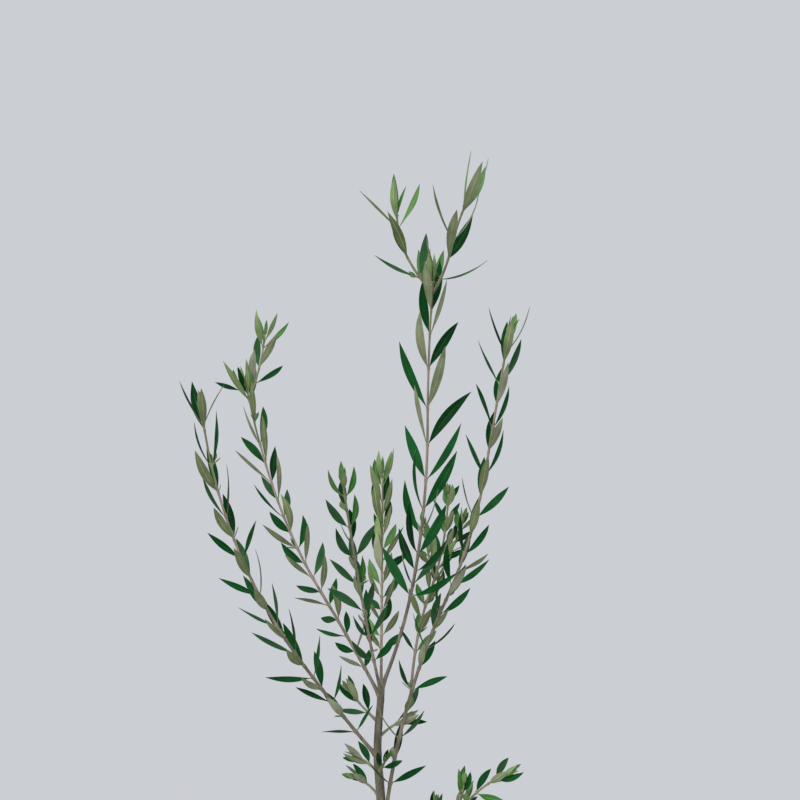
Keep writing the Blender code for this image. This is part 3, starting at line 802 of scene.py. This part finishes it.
def make_trunk(lines):
    """The trunk in its bark, with root flare, old leaf scars and pale breathing pores."""
    form = Form()
    line = lines["trunk"]

    def radius_at(height, degrees):
        angle = math.radians(degrees)
        radius = trunk_radius(max(height, 0.0))
        lobes = 0.5 + 0.5 * math.cos(ROOT_LOBES * angle + 1.2 * math.sin(angle))
        fading = math.exp(-max(height, 0.0) / (ROOT_LOBE_REACH * FLARE_REACH))
        radius += ROOT_LOBE_DEPTH * FLARE * (lobes - 0.5) * fading
        place = Vector((math.cos(angle), math.sin(angle), 0.0)) * BARK_ROUND
        ridges, cracks, lumps = (
            noise.noise(scale * place + Vector((*start, height * along)))
            for scale, start, along in BARK_LAYERS
        )
        radius += BARK_RELIEF * (ridges - max(cracks, 0.0) + 1.5 * lumps)
        past = (height + NODE_SCAR_SLANT * math.sin(2.0 * angle)) % NODE_SCAR_GAP
        off = (past - 0.5 * NODE_SCAR_GAP) / NODE_SCAR_REACH
        return radius + NODE_SCAR * math.exp(-(off**2))

    rings = limb_rings(line, 0.0, TRUNK_HEIGHT, BARK_STEP, BARK_SIDES, radius_at)
    rings[0, :, 2] -= TRUNK_SUNK
    form.sweep(rings, lambda ring, place: 0)

    dice = random.Random(41)
    dot = round_shape(1)
    for _ in range(LENTICELS):
        height = dice.uniform(0.012, TRUNK_HEIGHT - 0.01)
        degrees = dice.uniform(0.0, 360.0)
        point, along = line.smooth_at(height)
        out = side_of(along, degrees)
        turn = Matrix((along.cross(out), along, out)).transposed()
        size = dice.uniform(*LENTICEL_SIZES)
        place = point + out * (radius_at(height, degrees) - 0.2 * size)
        form.blob(dot, place, turn, (1.5 * size, size, 0.7 * size), 1)
    form.piece("trunk_in_bark", [trunk_bark, pore_material], "bark", "trunk")


def parent_radius_of(shoot):
    if shoot.parent == "trunk":
        return trunk_radius(shoot.at)
    return shoot_radius(BY_NAME[shoot.parent], shoot.at)


def make_limbs(lines):
    """The boughs in one piece, and in another the leafy stems that run on from them."""
    boughs, stems = Form(), Form()
    for shoot in SHOOTS:
        line = lines[shoot.name]
        radius_at = stem_radius(shoot, parent_radius_of(shoot))
        if shoot.bare:
            rings = limb_rings(line, 0.0, shoot.bare, BOUGH_STEP, BOUGH_SIDES, radius_at)
            boughs.sweep(rings, lambda ring, place: 0)
        start, end = max(shoot.bare - STEM_OVERLAP, 0.0), shoot.length
        sides = BOUGH_SIDES if shoot.bare else STEM_SIDES
        rings = limb_rings(line, start, end, STEM_STEP, sides, radius_at)
        count = len(rings)

        def slot_of(ring, place):
            to_tip = (end - start) * (1.0 - ring / (count - 1))
            if to_tip < GREEN_TIP:
                return 2
            return 1 if to_tip < TAN_LENGTH else 0

        point, along = line.at(end)
        stems.sweep(rings, slot_of, point + along * STEM_POINT)
    boughs.piece("boughs_in_bark", [bough_bark], "bark", *nodes_of("bough_"))
    stems.piece("leafy_stems", [bough_bark, tan_bark, green_bark], "bark", *nodes_of("spray_"))


# -------------------------------- foliage


def mass_of(shoot):
    """The name of the spray that a shoot belongs to."""
    while shoot.parent != "trunk":
        shoot = BY_NAME[shoot.parent]
    return shoot.name


def young_share(shoot, distance):
    """How likely a leaf this far along its shoot is a bright young one."""
    if shoot.name not in YOUNG_SHOOTS:
        return 0.0
    to_tip = shoot.length - distance
    return max(min(YOUNG_AT_TIP - to_tip / YOUNG_REACH, 1.0), YOUNG_SHOOTS[shoot.name])


def spray_solid(name):
    """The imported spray's surface, ready for finding its nearest point."""
    mesh = frame["nodes"]["spray_" + name].data
    return BVHTree.FromPolygons(
        [v.co.copy() for v in mesh.vertices], [tuple(p.vertices) for p in mesh.polygons]
    )


def add_small_pair(form, foot, along, degrees, rise, length, kind, tint, dice):
    """A pair of young leaves at this angle round their stem, standing off it by rise."""
    up, side = math.cos(math.radians(rise)), math.sin(math.radians(rise))
    for half in (0, 180):
        out = side_of(along, degrees + half + dice.uniform(-kind.stray, kind.stray))
        size = length * dice.uniform(*kind.sizes)
        way, inward = along * up + out * side, along * side - out * up
        curl = math.radians(kind.curl)
        leaf = Leaf(foot, way, inward, 0.0, size, kind.width * size, curl)
        add_leaf(form, leaf, dice, young_slots(tint))


def add_bud(form, shape, point, way, size):
    turn = way.to_track_quat("Z", "Y").to_matrix()
    form.blob(shape, point + way * size, turn, [part * size for part in BUD_SHAPE])


def add_sprig(stems, leaves, buds, shape, point, way, dice):
    """A short side shoot in a leaf's axil, with two pairs of young leaves and a bud."""
    reach = dice.uniform(*SPRIG_REACH)
    steps = [point + way * (reach * i / 3) for i in (1, 2, 3)]
    line = Line([point - way * SPRIG_ROOT, *steps])
    rings = limb_rings(
        line, 0.0, line.length, SPRIG_STEP, SPRIG_SIDES, lambda distance, degrees: SPRIG_RADIUS
    )
    stems.sweep(rings, lambda ring, place: 0)
    turned = dice.uniform(0.0, 90.0)
    for pair, (place, rise, length) in enumerate(SPRIG_PAIRS):
        foot, along = line.at(line.length * place)
        turn = turned + 90 * pair
        add_small_pair(leaves, foot, along, turn, rise, length, SPRIG_LEAF, pair, dice)
    add_bud(buds, shape, line.at(line.length)[0], way, SPRIG_BUD)


def add_tip(leaves, buds, shape, shoot, line, dice):
    """The growing tip: two pairs of small folded leaves round a bud."""
    point, along = line.at(line.length)
    tint = int(shoot.name in YOUNG_SHOOTS)
    for pair, (rise, length) in enumerate(TIP_LEAF_PAIRS):
        foot = point + along * (TIP_STEP * pair)
        turn = shoot.phase + 45 + 90 * pair
        add_small_pair(leaves, foot, along, turn, rise, length, TIP_LEAF, tint, dice)
    add_bud(buds, shape, point + along * TIP_STEP, along, BUD_SIZES[1])


def make_foliage(lines):
    """Every leaf of the sprays, the buds in their axils and the young growth between them."""
    solids = {name: spray_solid(name) for name in {mass_of(shoot) for shoot in SHOOTS}}
    outer, inner, young, sprigs, buds = (Form() for _ in range(5))
    bud_shape = round_shape(2)
    for shoot in SHOOTS:
        line = lines[shoot.name]
        mass = mass_of(shoot)
        grown = outer if mass in OUTER_SPRAYS else inner
        dice = random.Random(100 + shoot.seed)
        tone = dice.randrange(len(UPPER_TONES))
        places = [place for place in pair_places(shoot) for _ in (0, 1)]
        for choices, (distance, rank) in zip(leaf_choices(shoot, line), places):
            leaf = standing_leaf(choices, solids[mass])
            if leaf is None:
                continue
            if dice.random() < young_share(shoot, distance):
                add_leaf(young, leaf, dice, young_slots(dice.randrange(len(YOUNG_TONES))))
            else:
                own = dice.random() < OWN_TONE_SHARE
                tint = tone if own else dice.randrange(len(UPPER_TONES))
                add_leaf(grown, leaf, dice, grown_slots(tint))
            point, along = line.at(distance)
            out = (leaf.along - along * leaf.along.dot(along)).normalized()
            way = (along * AXIL_WAY[0] + out * AXIL_WAY[1]).normalized()
            axil = point + out * (0.9 * shoot_radius(shoot, distance))
            if rank is None and dice.random() < SPRIG_SHARE:
                add_sprig(sprigs, young, buds, bud_shape, axil, way, dice)
            else:
                add_bud(buds, bud_shape, axil, way, dice.uniform(*BUD_SIZES))
        add_tip(young, buds, bud_shape, shoot, line, dice)

    outer_nodes = ["spray_" + name for name in OUTER_SPRAYS]
    inner_nodes = [name for name in nodes_of("spray_") if name not in outer_nodes]
    outer.piece("leaves_outer", leaf_materials, "foliage", *outer_nodes, sharp=60)
    inner.piece("leaves_inner", leaf_materials, "foliage", *inner_nodes, sharp=60)
    young.piece("leaves_young", young_materials, "foliage", sharp=60)
    sprigs.piece("side_sprigs", [green_bark], "bark")
    buds.piece("buds", [bud_material], "foliage")


# -------------------------------- pot and soil

POT_FOOT_RADIUS = 0.080
POT_WALL = 0.008
POT_FLOOR = 0.010
RIM_HEIGHT = 0.034
RIM_STEP = 0.006
RIM_TAPER = 0.0016
DRAIN_HOLES = 3
DRAIN_RADIUS = 0.006
DRAIN_CIRCLE = 0.038
POT_STEPS = 160
WALL_STEPS = 12
INNER_STEPS = 6
EDGE_WIDTH = 0.0026
UNEVENNESS = 0.0022

SOIL_SIDES = 120
SOIL_RINGS = 60
SOIL_DOME = 0.004
SOIL_ROUNDING = 0.004
SOIL_GAP = 0.0004
SOIL_RELIEF = 0.0022
SOIL_HEAP = 0.0022
HEAP_REACH = 0.022
# The loose bits on the soil: crumbs, with a chip of bark or a grain of perlite every so often,
# and the shape of each kind for its size.
BITS = 1100
BIT_SIZES = (0.0006, 0.0022)
LARGE_BIT = 0.0016
CHIP_EVERY = 9
CHIP_SHAPE = (2.4, 0.9, 0.45)
PERLITE_EVERY = 24
PERLITE_SHAPE = (0.8, 0.75, 0.7)


def mixed(tree, kind, amount, first, second, factor=None):
    """Two colours mixed; the second may be a plain colour, and factor scales how much."""
    node = new_node(tree, "Mix")
    node.data_type = "RGBA"
    node.blend_type = kind
    node.inputs["Factor"].default_value = amount
    if factor is not None:
        tree.links.new(factor, node.inputs["Factor"])
    tree.links.new(first, node.inputs["A"])
    if isinstance(second, tuple):
        node.inputs["B"].default_value = (*second, 1.0)
    else:
        tree.links.new(second, node.inputs["B"])
    return node.outputs["Result"]


def clay_material():
    """Fired clay: speckled and drifting in tone, with chalky bloom near its foot and rim."""
    material = new_material("fired_clay", 0.86, 0.25)
    tree, shader = material.node_tree, shader_of(material)
    drift = noise_of(tree, 14.0, (1.0, 1.0, 0.7), detail=6.0)
    deep, middle, pale = (0.360, 0.130, 0.062), (0.480, 0.190, 0.095), (0.580, 0.265, 0.150)
    body = ramp(tree, drift, ((0.28, deep), (0.52, middle), (0.75, pale)))
    fleck = noise_of(tree, 420.0, detail=2.0)
    flecks = ramp(tree, fleck, ((0.60, grey(0.0)), (0.72, grey(1.0))))
    chalk = noise_of(tree, 26.0, (1.0, 1.0, 1.6), detail=8.0, rough=0.7)
    bloom = ramp(tree, chalk, ((0.52, grey(0.0)), (0.74, grey(0.55))))

    place = new_node(tree, "TexCoord")
    split = new_node(tree, "SeparateXYZ")
    tree.links.new(place.outputs["Object"], split.inputs["Vector"])
    level = new_node(tree, "MapRange", {"From Min": 0.0, "From Max": pot_high.z})
    tree.links.new(split.outputs["Z"], level.inputs["Value"])
    heights = ((0.0, grey(1.0)), (0.22, grey(0.25)), (0.78, grey(0.2)), (0.97, grey(0.8)))
    bands = ramp(tree, level.outputs["Result"], heights)
    amount = mixed(tree, "MULTIPLY", 1.0, bloom, bands)
    speckled = mixed(tree, "MIX", 0.35, body, (0.300, 0.115, 0.060), factor=flecks)
    whole = mixed(tree, "MIX", 1.0, speckled, (0.640, 0.520, 0.430), factor=amount)
    tree.links.new(whole, shader.inputs["Base Color"])

    turning = new_node(tree, "TexWave", {"Scale": 55.0, "Distortion": 1.4, "Detail": 2.0})
    turning.wave_type = "BANDS"
    turning.bands_direction = "Z"
    tree.links.new(place.outputs["Object"], turning.inputs["Vector"])
    grain = bump(tree, noise_of(tree, 900.0, detail=3.0), 0.00012)
    tree.links.new(bump(tree, turning.outputs["Fac"], 0.00014, grain), shader.inputs["Normal"])
    return material


def apply_modifiers(thing):
    """Turns an object into the plain mesh that its modifiers give."""
    bpy.context.view_layer.update()
    graph = bpy.context.evaluated_depsgraph_get()
    mesh = bpy.data.meshes.new_from_object(thing.evaluated_get(graph))
    thing.modifiers.clear()
    thing.data = mesh


def make_pot():
    """The clay pot turned from its profile, with rounded edges; gives its floor's radius."""
    height, rim = pot_high.z, pot_high.x
    band = height - RIM_HEIGHT
    neck = rim - RIM_STEP
    slope = (neck - POT_FOOT_RADIUS) / band
    inner_floor = POT_FOOT_RADIUS + slope * POT_FLOOR - POT_WALL
    inner_top = neck - POT_WALL + 0.3 * slope * RIM_HEIGHT
    profile = [(inner_top, height), (rim, height), (rim - RIM_TAPER, band), (neck, band)]
    for i in range(1, WALL_STEPS):
        t = i / WALL_STEPS
        profile.append((neck + (POT_FOOT_RADIUS - neck) * t, band * (1.0 - t)))
    profile += [(POT_FOOT_RADIUS, 0.0), (0.0, 0.0), (0.0, POT_FLOOR), (inner_floor, POT_FLOOR)]
    for i in range(1, INNER_STEPS):
        t = i / INNER_STEPS
        radius = inner_floor + (inner_top - inner_floor) * t
        profile.append((radius, POT_FLOOR + (height - POT_FLOOR) * t))
    profile.append((inner_top, height))

    mesh = bpy.data.meshes.new("clay_pot")
    points = [(radius, 0.0, z) for radius, z in profile]
    mesh.from_pydata(points, [(i, i + 1) for i in range(len(points) - 1)], [])
    pot = new_object("clay_pot", mesh)
    screw = pot.modifiers.new("turn", "SCREW")
    screw.steps = screw.render_steps = POT_STEPS
    screw.use_merge_vertices = True
    screw.merge_threshold = 0.00001
    soften = pot.modifiers.new("edges", "BEVEL")
    soften.width = EDGE_WIDTH
    soften.segments = 4
    soften.limit_method = "ANGLE"
    soften.angle_limit = math.radians(35)
    apply_modifiers(pot)

    for vertex in pot.data.vertices:
        x, y, z = vertex.co
        if z < 0.001:  # The foot stays true.
            continue
        uneven = noise.noise(Vector((x * 14.0, y * 14.0, z * 9.0)))
        shrink = 1.0 - UNEVENNESS * (0.5 + 0.5 * uneven)
        vertex.co.x, vertex.co.y = x * shrink, y * shrink

    for i in range(DRAIN_HOLES):
        angle = 2.0 * math.pi * (i + 0.25) / DRAIN_HOLES
        bpy.ops.mesh.primitive_cylinder_add(
            vertices=32, radius=DRAIN_RADIUS, depth=3.0 * POT_FLOOR,
            location=(DRAIN_CIRCLE * math.cos(angle), DRAIN_CIRCLE * math.sin(angle), 0.0),
        )
        cutter = bpy.context.object
        cut = pot.modifiers.new("drain", "BOOLEAN")
        cut.operation = "DIFFERENCE"
        cut.object = cutter
        apply_modifiers(pot)
        bpy.data.objects.remove(cutter, do_unlink=True)

    pot.data.materials.clear()
    pot.data.materials.append(clay_material())
    finish_piece(pot, ["pot"], 50)
    return inner_floor


def soil_height(x, y):
    """The soil's uneven top: lumps, heaped a little round the trunk and dipping at the wall."""
    radius = math.hypot(x, y)
    dome = SOIL_DOME * (1.0 - math.cos(0.5 * math.pi * min(radius / soil_high.x, 1.0)))
    lumps = noise.fractal(Vector((x * 70.0, y * 70.0, 0.0)), 0.8, 2.1, 4)
    heap = SOIL_HEAP * math.exp(-((radius / HEAP_REACH) ** 2))
    return soil_high.z - dome + SOIL_RELIEF * (0.6 * lumps - 0.5) + heap


def make_soil(inner_floor):
    """Potting soil with a crumbly top, bits of bark and a few grains of perlite."""
    form = Form()
    edge = soil_high.x
    foot = POT_FLOOR + SOIL_GAP
    profile = (
        (SOIL_ROUNDING, foot), (inner_floor - SOIL_ROUNDING, foot),
        (inner_floor - 2.0 * SOIL_GAP, POT_FLOOR + SOIL_ROUNDING),
        (edge, soil_high.z - SOIL_DOME - SOIL_ROUNDING),
    )
    angles = 2.0 * np.pi * np.arange(SOIL_SIDES) / SOIL_SIDES
    rings = []
    for radius, height in profile:
        flat = np.full(SOIL_SIDES, height)
        rings.append(np.stack([radius * np.cos(angles), radius * np.sin(angles), flat], axis=1))
    for i in range(SOIL_RINGS):
        radius = edge * (1.0 - i / SOIL_RINGS)
        xs, ys = radius * np.cos(angles), radius * np.sin(angles)
        heights = [soil_height(x, y) for x, y in zip(xs, ys)]
        rings.append(np.stack([xs, ys, heights], axis=1))
    form.sweep(np.array(rings), lambda ring, place: 0, (0.0, 0.0, soil_height(0.0, 0.0)))

    dice = random.Random(7)
    grain, clod = round_shape(1), round_shape(2)
    for number in range(BITS):
        radius = (edge - 0.004) * math.sqrt(dice.random())
        angle = dice.uniform(0.0, 2.0 * math.pi)
        x, y = radius * math.cos(angle), radius * math.sin(angle)
        size = dice.uniform(*BIT_SIZES)
        kind, shape = 0, (1.0, dice.uniform(0.6, 1.0), dice.uniform(0.5, 0.9))
        if number % CHIP_EVERY == 0:
            kind, shape = 1, CHIP_SHAPE
        elif number % PERLITE_EVERY == 0:
            kind, shape = 2, PERLITE_SHAPE
        turn = Matrix.Rotation(dice.uniform(0.0, math.tau), 3, "Z")
        turn = turn @ Matrix.Rotation(dice.gauss(0.0, 0.3), 3, "X")
        points, faces = clod if size > LARGE_BIT else grain
        away = Vector((number, 0, 0))
        jagged = [p * (1.0 + 0.28 * noise.noise(p * 1.7 + away)) for p in points]
        place = Vector((x, y, soil_height(x, y) + 0.25 * size))
        form.blob((jagged, faces), place, turn, [part * size for part in shape], kind)
    earth = mottled(
        "potting_soil", (0.018, 0.011, 0.007), (0.070, 0.045, 0.029), 130.0, 0.95, 0.2,
        grain=(600.0, 0.0006),
    )
    chips = mottled(
        "bark_chips", (0.060, 0.034, 0.020), (0.150, 0.090, 0.052), 300.0, 0.9, 0.2,
        grain=(500.0, 0.0003),
    )
    perlite = mottled("perlite", (0.55, 0.54, 0.50), (0.78, 0.77, 0.73), 500.0, 0.9, 0.3)
    form.piece("potting_soil", [earth, chips, perlite], "soil", "soil", sharp=40)


# -------------------------------- floor, light and camera

# The sky's tone, and what the sun adds to a level floor in the same units. The floor's own tone
# follows from the two, so that floor and sky look alike and no horizon shows.
SKY_TONE = (0.600, 0.618, 0.655)
SUN_HEIGHT = math.radians(52)
SUN_SIDE = math.radians(-118)
SUN_SPREAD = math.radians(50)
SUN_STRENGTH = 1.9
FLOOR_RADIUS = 40.0
CAMERA_PLACE = (0.015, -1.25, 0.90)
SENSOR = 36.0
LENS = 56.25


def make_stage():
    """A plain pale floor under an even sky of the same tone, with one very soft sun."""
    bpy.ops.mesh.primitive_circle_add(vertices=128, radius=FLOOR_RADIUS, fill_type="NGON")
    floor = bpy.context.object
    floor.name = "studio_floor"
    sunlight = SUN_STRENGTH * math.sin(SUN_HEIGHT) / math.pi
    pale = new_material("studio_pale", 1.0, 0.0)
    tone = [sky / (sky + sunlight) for sky in SKY_TONE]
    shader_of(pale).inputs["Base Color"].default_value = (*tone, 1.0)
    floor.data.materials.append(pale)

    world = bpy.data.worlds.new("studio")
    world.use_nodes = True
    sky = world.node_tree.nodes["Background"]
    sky.inputs["Color"].default_value = (*SKY_TONE, 1.0)
    sky.inputs["Strength"].default_value = 1.0
    bpy.context.scene.world = world

    sun = bpy.data.lights.new("soft_sun", "SUN")
    sun.energy = SUN_STRENGTH
    sun.angle = SUN_SPREAD
    towards = Vector((math.cos(SUN_SIDE), math.sin(SUN_SIDE), math.tan(SUN_HEIGHT)))
    new_object("soft_sun", sun).rotation_euler = towards.to_track_quat("Z", "Y").to_euler()


def make_camera():
    """Level with the middle of the crown, 1.25 m in front of it."""
    camera = bpy.data.cameras.new("camera")
    camera.sensor_width = SENSOR
    camera.lens = LENS
    holder = new_object("camera", camera)
    holder.location = CAMERA_PLACE
    holder.rotation_euler = (math.pi / 2, 0.0, 0.0)
    bpy.context.scene.camera = holder
    bpy.context.scene.view_settings.view_transform = "Standard"


make_stage()
make_camera()
limb_lines = all_lines()
make_trunk(limb_lines)
make_limbs(limb_lines)
make_foliage(limb_lines)
make_soil(make_pot())
